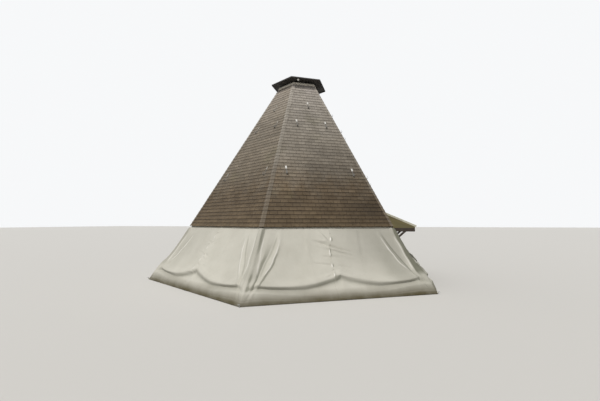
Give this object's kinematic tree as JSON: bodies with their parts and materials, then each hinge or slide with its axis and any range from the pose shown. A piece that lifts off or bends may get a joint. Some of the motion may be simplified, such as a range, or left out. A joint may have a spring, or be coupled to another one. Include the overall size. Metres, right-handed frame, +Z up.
{
  "type": "barbecue hut",
  "caption": "Barbecue hut: a steep slated pyramid roof on short posts with a covered smoke outlet, a pegged canvas skirt below the eaves and a canopied entrance.",
  "frame": {"origin": "on the ground under the middle of the smoke outlet", "axes": "+Z up, +X out through the entrance, +Y to the left of someone who looks out of it"},
  "size_m": [8.0504, 9.2854, 6.29],
  "materials": {
    "frame_timber": "weathered",
    "board_timber": "weathered",
    "dark_board": "stained dark",
    "slate": "matt",
    "hip_slate": "matt",
    "zinc": "weathered",
    "dark_sheet": "matt",
    "galvanised_steel": "galvanised",
    "lamp_white": "gloss",
    "canvas": "coated",
    "webbing": "woven"
  },
  "bodies": {
    "root": {"post_shoes": "galvanised_steel", "corner_posts": "frame_timber", "door_posts": "frame_timber", "eaves_beams": "frame_timber", "hip_rafters": "frame_timber", "rafters": "frame_timber", "eaves_fascia": "board_timber", "roof_boards_entrance": "board_timber", "roof_boards_front_right": "board_timber", "roof_boards_rear_right": "board_timber", "roof_boards_rear": "board_timber", "roof_boards_rear_left": "board_timber", "roof_boards_front_left": "board_timber", "slates_entrance": "slate", "slates_front_right": "slate", "slates_rear_right": "slate", "slates_rear": "slate", "slates_rear_left": "slate", "slates_front_left": "slate", "hip_slates": "hip_slate", "throat_ring": "galvanised_steel", "throat_flashing": "zinc", "smoke_cap_brackets": "galvanised_steel", "smoke_cap_boards": "dark_board", "smoke_cap_fascia": "dark_board", "smoke_cap_cover": "dark_sheet", "smoke_cap_lamp": "lamp_white", "canvas_entrance_right": "canvas", "canvas_right": "canvas", "canvas_rear_right": "canvas", "canvas_rear_left": "canvas", "canvas_left": "canvas", "canvas_entrance_left": "canvas", "canvas_tie_straps": "webbing", "ground_pegs": "galvanised_steel", "ladder_hooks": "galvanised_steel", "canopy_beams": "frame_timber", "canopy_braces": "frame_timber", "canopy_rafters": "frame_timber", "canopy_boards": "board_timber", "canopy_slates": "slate", "canopy_cheeks": "board_timber", "canopy_edge_trims": "zinc", "canopy_flashing": "zinc"}
  },
  "joints": []
}
